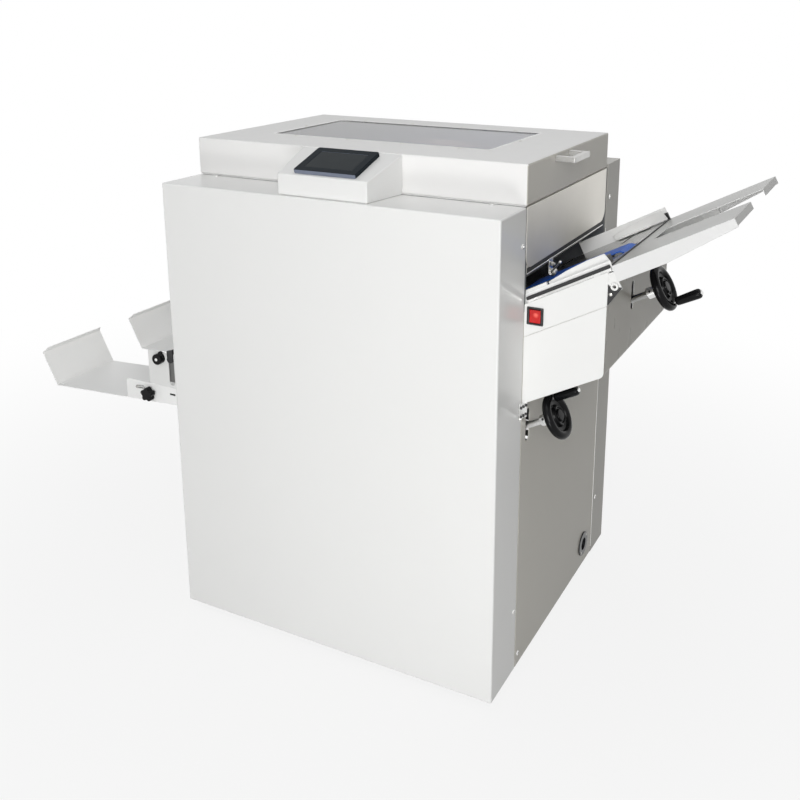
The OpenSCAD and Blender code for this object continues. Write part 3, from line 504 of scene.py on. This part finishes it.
# Hold-down over the feed belt: a plated hanger on the mouth's edge with a small wheel on an arm and
# a wing nut that sets its pressure.
hanger = block("hold_down_hanger", at(699.4, 226, 758), at(701.2, 246, 783))
pick(hanger, lambda c, n: n.z < -0.9)
bpy.ops.mesh.extrude_region_move(TRANSFORM_OT_translate={"value": (0.004, 0, -0.005)})
fold_up(hanger, 0.0006)
stands_for(hanger, "machine", "polished_metal", polished)
wheel = turned("hold_down_wheel", [(2.2, -1), (5.6, 0), (6.4, 1), (6.4, 11), (5.6, 12), (2.2, 13)],
               at(706, 230, 757), (0, 1, 0), 28)
stands_for(wheel, "machine", "machined_steel", zinc)
arm = turned("hold_down_arm", [
    (1.6, 0), (2.0, 1), (1.6, 3), (1.6, 26), (2.6, 27), (2.9, 30), (1.2, 32)],
    at(704, 228.5, 757), (0.62, -0.1, 0.78), 20)
stands_for(arm, "machine", "machined_steel", polished)
nut = turned("hold_down_nut", [(2.4, 0), (4.2, 0.6), (4.2, 3.4), (2.6, 4.6), (2.6, 7), (1.2, 8)],
             at(701.3, 236, 772), (1, 0, 0), 6)
stands_for(nut, "machine", "machined_steel", zinc)

# Console: a wedge of folded sheet, wider towards the hood, that tilts the touch panel to the user.
# Sprayed white like the front cover and screwed to the ledge from inside.
low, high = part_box("console_box")
console = block("console_wedge", low, high)
TAPER, FRONT_H = 0.013, 0.038
for vertex in console.data.vertices:
    if vertex.co.y < (low.y + high.y) / 2:
        vertex.co.x += TAPER if vertex.co.x < (low.x + high.x) / 2 else -TAPER
        if vertex.co.z > (low.z + high.z) / 2:
            vertex.co.z = corner.z + 0.9 + FRONT_H
fold_up(console, 0.0022)
stands_for(console, "machine", "white_paint", white_enamel, "console_box")


# Touch panel: a moulded, nearly black surround with a paler slate edge towards the user, and a dark
# glass screen let into it. It is shown switched off.
def moulding(name, colour, roughness, grain_depth, coat=0.0, shine=0.5):
    """Moulded plastic: fine spark-eroded grain, and gloss that varies where hands wipe it."""
    material, draw = finish(
        name, IOR=1.5, Coat_Weight=coat, Coat_Roughness=0.08, Specular_IOR_Level=shine)
    grain = draw.noise(draw.place(), 1500, 1.0)
    hands = draw.noise(draw.place(), 40, 3.0)
    paler = tuple(min(1.0, c * 1.25 + 0.004) for c in colour)
    set_sockets(material, {
        "Base_Color": draw.blend(hands, colour, paler),
        "Roughness": hands * 0.16 + (roughness - 0.08),
        "Normal": draw.bump(grain, grain_depth, 0.0003)})
    return material


def second_coat(piece, material, test):
    """Paints the faces of a piece whose normal passes the test with another finish."""
    piece.data.materials.append(material)
    for face in piece.data.polygons:
        face.material_index = 1 if test(face.normal) else 0


navy = moulding("navy_surround", (0.008, 0.012, 0.016), 0.46, 0.15, 0.0, 0.05)
slate = moulding("slate_edge", (0.15, 0.17, 0.22), 0.4, 0.1, 0.0, 0.16)
screen = moulding("dark_screen_glass", (0.010, 0.015, 0.018), 0.16, 0.0, 0.0, 0.06)
surround = eased("touch_bezel", "machine", "navy_bezel", 0.0009, navy)
second_coat(surround, slate, lambda n: n.y < -0.5 and n.z < 0.1)
dress(screen, "touch_glass")

# Hood: a folded white lid with a large window opening and a turned-in foot, hinged on the left. Its
# sides are painted the panels' greyer white as painted shade. A white foam strip under its front
# edge closes the joint to the ledge.
low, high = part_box("hood")
hood = block("hood_lid_sheet", low, high)
inner_low, inner_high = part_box("hood_window")
RIM = Vector((0.012, 0.012, 0))
sill = (inner_low + RIM, inner_high - RIM)
for axis in ((1, 0, 0), (0, 1, 0)):
    for place in sill:
        pick(hood, lambda c, n: n.z > 0.9)
        bpy.ops.mesh.bisect(plane_co=place, plane_no=axis)
pick(hood, lambda c, n: n.z > 0.9 and sill[0].x < c.x < sill[1].x and sill[0].y < c.y < sill[1].y)
bpy.ops.mesh.delete(type="FACE")
pick(hood, lambda c, n: n.z < -0.9)
bpy.ops.mesh.inset(thickness=LIP)
bpy.ops.mesh.delete(type="FACE")
fold_up(hood, 0.0028, SHEET)
hood_enamel = enamel("hood_white_enamel", (0.825, 0.82, 0.81), 0.24, 0.04, 0.03)
stands_for(hood, "hood_lid", "white_paint", hood_enamel, "hood")
# Painted shade: the hood's sides take the greyer white.
second_coat(hood, shaded_side_enamel, lambda n: abs(n.x) > 0.7)
foam, draw = finish("white_foam", IOR=1.4)
cells = draw.noise(draw.place(), 1800, 2.0)
set_sockets(foam, {
    "Base_Color": draw.blend(cells, (0.74, 0.74, 0.73), (0.82, 0.82, 0.81)),
    "Roughness": cells * 0.2 + 0.7,
    "Normal": draw.bump(cells, 0.4, 0.0005)})
seal = block("hood_front_seal", at(3, 112.15, 900.1), at(697, 118, 901.55))
fold_up(seal, 0.0002)
stands_for(seal, "hood_lid", "white_paint", foam)

# Hood window: a clear acrylic sheet screwed under the opening, with a pale trim round the opening's
# edge. Its tone is darker towards the hinges as painted shade, and has soft pink streaks, so the
# heads below show only faintly.
acrylic, draw = finish("tinted_acrylic", Transmission_Weight=0.86, IOR=1.2)
streak = draw.noise(draw.place(scale=(2.2, 5.5, 1), turn=(0, 0, 0.5)), 1.3, 2.0)
across = draw.node("ShaderNodeSeparateXYZ", {}, {0: draw.place()}, out="X")
# Painted shade: darker towards the hinges.
shade_painted_tone = draw.blend(
    draw.between(across, at(60, 0, 0).x, at(600, 0, 0).x), (0.20, 0.21, 0.23), (0.44, 0.455, 0.53))
set_sockets(acrylic, {
    "Base_Color": draw.blend(draw.between(streak, 0.5, 0.66), shade_painted_tone, (0.60, 0.53, 0.57)),
    "Roughness": streak * 0.08 + 0.04})
dress(acrylic, "hood_window")
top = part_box("hood")[1].z
trim = block("window_trim", (sill[0].x - 0.0012, sill[0].y - 0.0012, top - 0.0014),
             (sill[1].x + 0.0012, sill[1].y + 0.0012, top + 0.0004))
pick(trim, lambda c, n: abs(n.z) > 0.9)
bpy.ops.mesh.inset(thickness=0.0032)
bpy.ops.mesh.bridge_edge_loops()
fold_up(trim, 0.0003)
stands_for(trim, "hood_lid", "polished_metal", polished)
places = [(at(98 + 482 * (i + 0.5) / 4, y, 973), (0, 0, 1)) for i in range(4) for y in (222, 492)]
places += [(at(x, 357, 973), (0, 0, 1)) for x in (92, 586)]
heads = set_out(cross_head(3.5, 1.6), "window_screw_heads", places)
stands_for(heads, "hood_lid", "machined_steel", zinc, "hood_screws")

# Hood handle: a bow of drawn aluminium, screwed to the hood's side from inside. The hinges have
# zinc-plated steel leaves on plain pins.
handle_metal = turned_metal("drawn_aluminium", (0.60, 0.595, 0.58), 0.36, 0)
eased("hood_handle", "hood_lid", "polished_metal", 0.0006, handle_metal)
dress(zinc, "hood_hinge_base", "hood_hinge_leaf")

# Power inlet: a black moulded socket low on the right side, pushed through the panel and held by
# two small plated screws.
black = moulding("black_moulding", (0.007, 0.007, 0.008), 0.3, 0.1, 0.1)
eased("power_inlet", "machine", "black_plastic", 0.0005, black)
heads = set_out(cross_head(2.6, 1.2), "inlet_screw_heads", [
    (at(703, 507 + 22 * side, 54 + 22 * side), (1, 0, 0)) for side in (-0.7071, 0.7071)])
stands_for(heads, "machine", "machined_steel", zinc)

# Infeed housing: two white side plates with a wrapper round their end and foot, whose darker warm
# grey is painted shade. Inside, white rails carry a bright bed with a white far fence.
SLOPE = math.radians(28)
E = Vector((math.cos(SLOPE), 0, math.sin(SLOPE)))
N = Vector((-math.sin(SLOPE), 0, math.cos(SLOPE)))
MOUTH_Z = 736.5


def on_slope(u, y, h):
    """A place on the inclined sheet path: u up the slope, h above the sheet, in mm."""
    return at(RIGHT_FACE, y, MOUTH_Z) + (E * u + N * h) / 1000


def sloped_block(name, low, high):
    """A block whose edges follow the slope."""
    piece = block(name, Vector(low) / 1000, Vector(high) / 1000)
    piece.data.transform(
        Matrix.Translation(at(RIGHT_FACE, 0, MOUTH_Z)) @ Matrix.Rotation(-SLOPE, 4, "Y"))
    return piece


bright_enamel = enamel("bright_white_enamel", (0.80, 0.80, 0.79), 0.22, 0.04, 0.12)
housing = eased("infeed_cover", "machine", "white_paint", 0.0005, bright_enamel)
# Painted shade: the wrapper's darker warm grey.
shaded_wrap_enamel = enamel("shaded_wrap_grey_enamel", (0.40, 0.385, 0.345), 0.28, 0.04, 0.08)
second_coat(housing, shaded_wrap_enamel, lambda n: abs(n.y) <= 0.5)
eased("infeed_frame", "machine", "white_paint", 0.0004, bright_enamel)
bed_sheet, draw = finish("bed_stainless_sheet")
roll = draw.noise(draw.place(scale=(14, 900, 14), turn=(0, SLOPE, 0)), 1.0, 3.0)
cloud = draw.noise(draw.place(), 7, 3.0)
depth = draw.node("ShaderNodeSeparateXYZ", {}, {0: draw.place()}, out="Y")
fence = draw.sums("MAXIMUM", draw.between(depth, at(0, 512.2, 0).y, at(0, 512.4, 0).y),
                  draw.between(depth, at(0, 121.8, 0).y, at(0, 121.6, 0).y))
bare = draw.blend(cloud, (0.26, 0.26, 0.26), (0.34, 0.34, 0.335))
set_sockets(bed_sheet, {
    "Base_Color": draw.blend(fence, bare, (0.86, 0.86, 0.85)),
    "Metallic": 1 - fence,
    "Roughness": roll * 0.12 + cloud * 0.1 + 0.08,
    "Normal": draw.bump(roll, 0.06, 0.0002)})
dress(bed_sheet, "infeed_bed")

# Feed belt: blue ribbed rubber belting, joined to a loop and stretched round two turned steel
# rollers.
belt, draw = finish("blue_feed_belt", IOR=1.45)
weave = draw.node("ShaderNodeTexWave", {"bands_direction": "Y"}, {
    "Vector": draw.place(), "Scale": 420, "Distortion": 0.6})
scuff = draw.noise(draw.place(scale=(0.3, 1, 1)), 60, 4.0)
set_sockets(belt, {
    "Base_Color": draw.blend(scuff, (0.010, 0.065, 0.36), (0.03, 0.15, 0.60)),
    "Roughness": scuff * 0.2 + 0.4,
    "Normal": draw.bump(weave, 0.25, 0.0004)})
dress(belt, "feed_belt")
dress(cross_steel, "feed_drive_roller", "feed_idler_roller")

# Side guides: white fences on feet, a fixed lead-in plate before the front one and a black stop
# block at its outer end.
for guide, body in (("front_guide", "guide_front"), ("rear_guide", "guide_rear")):
    eased(guide, body, "white_paint", 0.0004, bright_enamel)
lead_in = sloped_block("lead_in_plate", (2, 122, 0.2), (46, 128.5, 14.2))
fold_up(lead_in, 0.001)
stands_for(lead_in, "machine", "white_paint", bright_enamel)
stop = sloped_block("guide_stop_block", (150, 130.2, 3.6), (165, 146, 17))
fold_up(stop, 0.0012)
stands_for(stop, "guide_front", "black_plastic", black)

# Rail edge: an aluminium bar screwed along the top of the front rail, with a black rubber strip
# pressed onto it.
bar = sloped_block("rail_edge_bar", (3, 112.9, -7), (166, 119.6, -2.2))
fold_up(bar, 0.0005)
stands_for(bar, "machine", "polished_metal", polished)
strip = sloped_block("rail_edge_rubber", (3, 113.2, -2.2), (166, 119.4, 3.4))
fold_up(strip, 0.0012)
stands_for(strip, "machine", "black_rubber", black_rubber)

# Forked tray: sheet with turned-down edges, sprayed white; its top is painted a darker grey as
# painted shade. A black strip covers its joint to the bed and ends in a small stop at the far
# fence.
tray_enamel = enamel("tray_white_enamel", (0.74, 0.74, 0.735), 0.24, 0.01, 0.08)
# Painted shade: the darker grey on the tray's top.
shaded_top_enamel = enamel("tray_shaded_top_enamel", (0.54, 0.54, 0.525), 0.3, 0.01, 0.08)
tray = eased("infeed_tray", "machine", "white_paint", 0.0005, tray_enamel)
second_coat(tray, shaded_top_enamel, lambda n: abs(n.y) <= 0.5)
joint = sloped_block("bed_joint_strip", (166.2, 121.8, 0.1), (170.8, 512, 1.7))
fold_up(joint, 0.0005)
stands_for(joint, "machine", "black_rubber", black_rubber)
stop = sloped_block("fence_end_stop", (158, 507, 1.8), (170, 512.2, 15))
fold_up(stop, 0.001)
stands_for(stop, "machine", "black_plastic", black)

# Tray gusset: a black moulded plate in the corner under the tray's arm, held to the rail by one
# plated screw. Its black is partly painted shade: it also stands for the shade under the arm.
gusset = block("tray_gusset", at(846, 112, 749), at(870, 113.4, 782))
for vertex in gusset.data.vertices:
    if vertex.co.z < at(0, 0, 760).z:
        vertex.co.x = at(847.5 if vertex.co.x > at(850, 0, 0).x else 846, 0, 0).x
fold_up(gusset, 0.0003)
stands_for(gusset, "machine", "black_plastic", black)
heads = set_out(cross_head(3, 1.6), "gusset_screw_head", [(at(851.2, 112, 768.1), (0, -1, 0))])
stands_for(heads, "machine", "machined_steel", zinc)

# Mains switch: a red moulded rocker in a black bezel that snaps into the housing's side. The rocker
# glows faintly, and a paler spot on it is a painted highlight.
red, draw = finish(
    "red_rocker", IOR=1.5, Coat_Weight=0.3, Coat_Roughness=0.05, Emission_Strength=0.16)
spot = draw.node("ShaderNodeVectorMath", {"operation": "LENGTH"}, {
    0: draw.place(shift=-at(722, 108, 713))}, out="Value")
# Painted highlight: the paler spot on the rocker.
painted_highlight_spot = draw.between(spot, 0.0065, 0.0015)
haze = draw.noise(draw.place(), 300, 2.0)
set_sockets(red, {
    "Base_Color": draw.blend(painted_highlight_spot, (0.42, 0.006, 0.006), (0.80, 0.12, 0.09)),
    "Emission_Color": draw.blend(painted_highlight_spot, (0.75, 0.01, 0.008), (1.0, 0.30, 0.24)),
    "Roughness": haze * 0.1 + 0.16})
eased("switch_bezel", "machine", "black_plastic", 0.0005, black)
eased("switch_rocker", "rocker", "red_switch", 0.0006, red)

# Handwheels: dished black discs with a rounded rim and a ring groove round the hub. Each has a
# tapered grip that turns on a bright riveted pin, and a clamped collar behind it.
gloss_black = moulding("glossy_black_moulding", (0.0035, 0.0035, 0.004), 0.2, 0.03, 0.0, 0.12)
screw_steel = turned_metal("lead_screw_steel", (0.36, 0.36, 0.35), 0.16, 0)
bright_collar = turned_metal("bright_collar_steel", (0.88, 0.88, 0.87), 0.3, 0)
WHEEL = [(12.5, -9.4), (14, -9), (17, -6), (24, -4.4), (27.5, -4.4), (30, -6.6), (33, -7.9),
         (36, -7.9), (39.6, -6.3), (42.2, -3.2), (43, 0), (42.2, 3.4), (39.8, 6.5), (36.4, 8),
         (33, 7.9), (30, 6.8), (28, 4.4), (27, 2.2), (21, 0.8), (19.4, 2.4), (18.4, 6.2),
         (16.8, 7.4), (15, 6.8), (13.6, 4.6), (11.6, 4.2), (10.6, 7.6), (9.4, 8.6), (2.6, 8.8),
         (0.6, 8.8)]
GRIP = [(6.5, 0), (7.6, 1), (8, 5), (8.4, 18), (8.8, 30), (9, 38), (9, 42), (8.2, 45.2),
        (6.2, 46.8), (3.3, 47)]
GRIP_RADIUS = 32
PIN = [(6.2, 4), (6.2, 8.6), (3, 9), (3, 56.6), (4.4, 57), (4.4, 57.8), (3.4, 59), (1.2, 59.4)]
COLLAR = [(9, 0), (10.4, 1), (10.4, 14.2), (9, 15.2)]
for level, u, y, h, angle, collar_u in (
        ("upper", 181, 270, -87.2, 10, 149.9), ("lower", -52, 142.5, -217, 170, -84.1)):
    body = level + "_wheel"
    wheel = turned(level + "_wheel_disc", WHEEL, on_slope(u, y, h), E, 64)
    stands_for(wheel, body, "black_plastic", gloss_black, level + "_handwheel")
    off = Vector((0, math.sin(math.radians(angle)), -math.cos(math.radians(angle)))) * GRIP_RADIUS
    pin = turned(level + "_grip_pin", PIN, on_slope(u, y + off.y, h + off.z), E, 24)
    stands_for(pin, body, "polished_metal", bright_collar)
    grip = turned(level + "_grip_handle", GRIP, on_slope(u + 9.3, y + off.y, h + off.z), E, 32)
    stands_for(grip, level + "_grip_piece", "black_plastic", gloss_black, level + "_grip")
    collar = turned(level + "_collar", COLLAR, on_slope(collar_u, y, h), E, 36)
    stands_for(collar, body, "polished_metal", bright_collar)
    side = (Vector((0, -1, 0)) + N * 0.45).normalized()
    socket = turned(level + "_set_screw", [(2.4, 0), (2.4, 0.5), (1.9, 0.6), (1.5, 0.4)],
                    on_slope(collar_u + 7.5, y, h) + side * 0.0102, side, 18)
    stands_for(socket, body, "black_plastic", black)
dress(screw_steel, "upper_screw")
dress(bright_collar, "lower_screw")
dress(cross_steel, "screw_blocks", "stitch_stop", "fold_stop")

# Bearing plate of the lower screw: a bright steel plate across the cover's seam, held by six dark
# cap screws.
plate = block("lower_bearing_plate", at(700.1, 95, 515), at(703, 131, 546))
for vertex in plate.data.vertices:
    vertex.co.z += 0.004 if vertex.co.y < at(0, 113, 0).y else -0.002
fold_up(plate, 0.0008)
stands_for(plate, "machine", "polished_metal", polished)
cap = turned("cap_screw", [(2.6, 0), (2.6, 1.6), (2.2, 2), (1.3, 2), (1.2, 1)],
             (0, 0, 0), (0, 0, 1), 18)
caps = set_out(cap, "bearing_cap_screws", [
    (at(703, y, z - (y - 113) * 0.16), (1, 0, 0)) for y in (101, 113, 125) for z in (522, 539)])
stands_for(caps, "machine", "black_plastic", black)


# Stitching: cross beam, two stitch heads with their driver bar, clincher bar, and spools wound with
# bright stitching wire.
def coil(name, radius, wire, pitch, turns, place, axis):
    """A wound coil of round wire: one ring of the wire's section, screwed round the axis."""
    bpy.ops.object.select_all(action="DESELECT")
    bpy.ops.mesh.primitive_circle_add(
        vertices=8, radius=wire / 1000, location=(radius / 1000, 0, 0),
        rotation=(math.pi / 2, 0, 0))
    piece = bpy.context.object
    piece.name = name
    bpy.ops.object.transform_apply(location=True, rotation=True, scale=True)
    wind = piece.modifiers.new("wind", "SCREW")
    wind.angle = 2 * math.pi
    wind.screw_offset = pitch / 1000
    wind.iterations = turns
    wind.steps = wind.render_steps = 40
    bpy.ops.object.modifier_apply(modifier=wind.name)
    bpy.ops.object.mode_set(mode="EDIT")
    bpy.ops.mesh.select_all(action="SELECT")
    bpy.ops.mesh.remove_doubles(threshold=0.000001)
    bpy.ops.mesh.fill_holes(sides=8)
    bpy.ops.mesh.normals_make_consistent(inside=False)
    bpy.ops.object.mode_set(mode="OBJECT")
    bpy.ops.object.shade_smooth()
    lay(piece, place, axis)
    return piece


plain_sheet = rolled_sheet("plain_bright_sheet", (0.66, 0.66, 0.65), 0.24, 0)
dress(dark_enamel, "stitch_beam")
dress(cross_steel, "stitch_heads", "clincher_bar", "wire_spools")
dress(plain_sheet, "stitch_driver", "path_plate")
low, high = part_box("wire_spools")
reel = (high.x - low.x) / 2
for side, y in (("front", 257), ("rear", 377)):
    winding = coil(side + "_wire_winding", reel * 750 + 1.1, 0.9, 1.84, 14,
                   on_slope(-166, y - 12.9, 185), (0, 1, 0))
    stands_for(winding, "spools", "polished_metal", bright_collar)

# Folding: a bright sheet knife on a dark sprayed beam pushes the sheets between two rubber-covered
# rollers, driven by a finned motor. A bright chute leads them out.
dress(dark_enamel, "knife_beam", "drive_motor")
dress(plain_sheet, "fold_knife", "exit_chute")
dress(black_rubber, "fold_roller_a", "fold_roller_b", "press_roller")

# Outfeed: white brackets carry two folded wings. Each wing's flange has a slot with a black plug
# and a return spring of bright wire hooked beside the clamping knob.
wing_enamel = enamel("wing_white_enamel", (0.92, 0.92, 0.91), 0.24, 0.04, 0.2)
for wing in ("front_wing", "rear_wing"):
    eased(wing, "outfeed_tray", "white_paint", 0.0005, wing_enamel)
eased("outfeed_brackets", "machine", "white_paint", 0.0005, bright_enamel)
plug = block("flange_slot_plug", at(-120.4, 111.4, 401.4), at(-105.6, 113.2, 404.6))
fold_up(plug, 0.0008)
stands_for(plug, "outfeed_tray", "black_plastic", black)
spring = coil("flange_spring", 3.2, 0.5, 4.2, 5, at(-212, 107.9, 405.5), (1, 0, 0.12))
stands_for(spring, "outfeed_tray", "polished_metal", screw_steel)
post = turned("spring_post", [(1.4, 0), (1.4, 5), (2.2, 5.4), (2.2, 6.4), (1.2, 7)],
              at(-212, 112.2, 405.5), (0, -1, 0), 16)
stands_for(post, "outfeed_tray", "polished_metal", zinc)

# Star knobs and the press roller's clamp lever in black plastic. The lever has a bright screw in
# its face; behind the bracket's slot rides a dull steel slide with a black finger piece.
eased("star_knobs", "tray_knobs", "black_plastic", 0.0012, gloss_black)
eased("clamp_lever", "lever", "black_plastic", 0.0012, gloss_black)
cap = turned("lever_face_screw", [(3.4, 0), (3.4, 0.8), (2.8, 1.4), (1.2, 1.6)],
             at(-140, 98.1, 484), (0, -1, 0), 20)
stands_for(cap, "lever", "polished_metal", bright_collar)
slide_steel = turned_metal("dull_slide_steel", (0.20, 0.20, 0.195), 0.5, 2)
slide = block("press_slide_plate", at(-124, 117, 430), at(-100, 118.4, 500))
fold_up(slide, 0.0005)
stands_for(slide, "press", "polished_metal", slide_steel)
finger = block("press_finger_piece", at(-121, 110.4, 488), at(-105, 116.8, 503))
for vertex in finger.data.vertices:
    if vertex.co.z > at(0, 0, 495).z and vertex.co.x > at(-113, 0, 0).x:
        vertex.co.z += 0.005
fold_up(finger, 0.001)
stands_for(finger, "press", "black_plastic", black)
